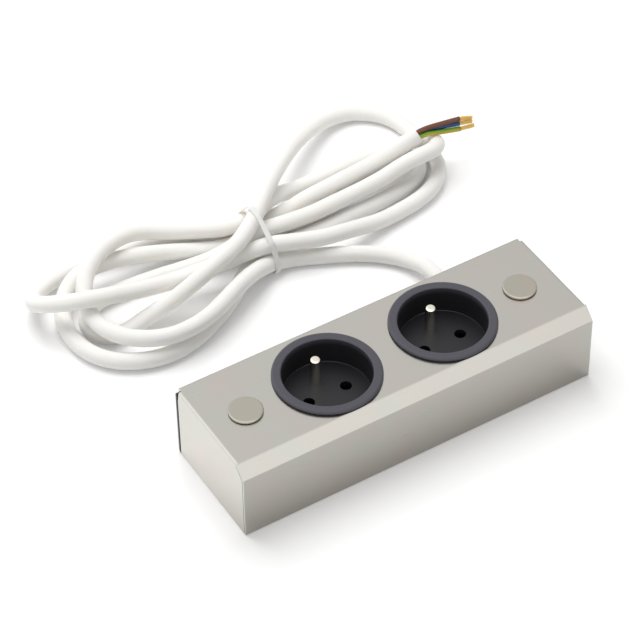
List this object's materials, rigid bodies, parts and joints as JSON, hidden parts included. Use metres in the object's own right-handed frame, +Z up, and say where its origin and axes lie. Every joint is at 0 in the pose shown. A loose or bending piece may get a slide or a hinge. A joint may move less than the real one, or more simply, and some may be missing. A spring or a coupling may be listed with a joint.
{
  "type": "surface socket block",
  "caption": "Surface-mounted socket block: folded steel cover, recessed earth-pin sockets with sliding shutters, lift-off screw caps and a hard-wired lead tied in a hank.",
  "frame": {"origin": "centre of the block's base, on the surface it stands on", "axes": "+X along the block from the left socket to the right one, +Y from the chamfered front edge to the back wall, +Z up out of the sockets"},
  "size_m": [0.2389, 0.2121, 0.042],
  "materials": {
    "cover_steel": "brushed along the length",
    "chassis_black": "black powder coat",
    "socket_plastic": "fine moulded satin",
    "carrier_plastic": "moulded",
    "shutter_plastic": "moulded smooth",
    "cap_steel": "turned and brushed",
    "grip_rubber": "matt",
    "zinc_steel": "bright zinc plate",
    "nickel_plate": "bright nickel on brass",
    "contact_brass": "stamped",
    "spring_steel": "rolled strip",
    "clamp_plastic": "moulded",
    "boot_pvc": "soft satin",
    "cord_pvc": "soft satin",
    "tie_plastic": "milky strip",
    "insulation_brown": "satin",
    "insulation_blue": "satin",
    "insulation_green_yellow": "satin, two-coloured",
    "copper": "twisted strands"
  },
  "bodies": {
    "block": {"housing_cover": "cover_steel", "chassis": "chassis_black", "cover_pillars": "zinc_steel", "base_screws": "zinc_steel", "fixing_sleeves": "zinc_steel", "cable_boot": "boot_pvc", "clamp_saddle": "clamp_plastic", "clamp_bar": "clamp_plastic", "clamp_screws": "zinc_steel", "earth_lug": "nickel_plate", "earth_nut": "zinc_steel", "wire_brown": "insulation_brown", "wire_blue": "insulation_blue", "wire_green_yellow": "insulation_green_yellow", "cable_inlet": "cord_pvc", "power_cord": "cord_pvc", "cord_hank": "cord_pvc", "cord_free_end": "cord_pvc", "cord_tie": "tie_plastic", "core_brown": "insulation_brown", "core_blue": "insulation_blue", "core_green_yellow": "insulation_green_yellow", "bare_conductors": "copper", "socket_cup_left": "socket_plastic", "retaining_clips_left": "spring_steel", "earth_pin_left": "nickel_plate", "contact_block_left": "carrier_plastic", "live_contact_left": "contact_brass", "neutral_contact_left": "contact_brass", "earth_strap_left": "contact_brass", "terminal_screws_left": "zinc_steel", "block_screws_left": "zinc_steel", "shutter_spring_left": "spring_steel", "socket_cup_right": "socket_plastic", "retaining_clips_right": "spring_steel", "earth_pin_right": "nickel_plate", "contact_block_right": "carrier_plastic", "live_contact_right": "contact_brass", "neutral_contact_right": "contact_brass", "earth_strap_right": "contact_brass", "terminal_screws_right": "zinc_steel", "block_screws_right": "zinc_steel", "shutter_spring_right": "spring_steel"},
    "cap_left": {"screw_cap_left": "cap_steel", "cap_ring_left": "grip_rubber"},
    "shutter_left": {"shutter_left": "shutter_plastic"},
    "cap_right": {"screw_cap_right": "cap_steel", "cap_ring_right": "grip_rubber"},
    "shutter_right": {"shutter_right": "shutter_plastic"}
  },
  "joints": [
    {"name": "cap_left_lift", "type": "slide", "parent": "block", "child": "cap_left", "axis": [0, 0, 1], "range_m": [0, 0.012]},
    {"name": "cap_right_lift", "type": "slide", "parent": "block", "child": "cap_right", "axis": [0, 0, 1], "range_m": [0, 0.012]},
    {"name": "shutter_left_slide", "type": "slide", "parent": "block", "child": "shutter_left", "axis": [0, -1, 0], "range_m": [0, 0.0062], "stiffness_N_per_m": 250, "springref_m": -0.003, "deforming": ["shutter_spring_left"]},
    {"name": "shutter_right_slide", "type": "slide", "parent": "block", "child": "shutter_right", "axis": [0, -1, 0], "range_m": [0, 0.0062], "stiffness_N_per_m": 250, "springref_m": -0.003, "deforming": ["shutter_spring_right"]}
  ]
}
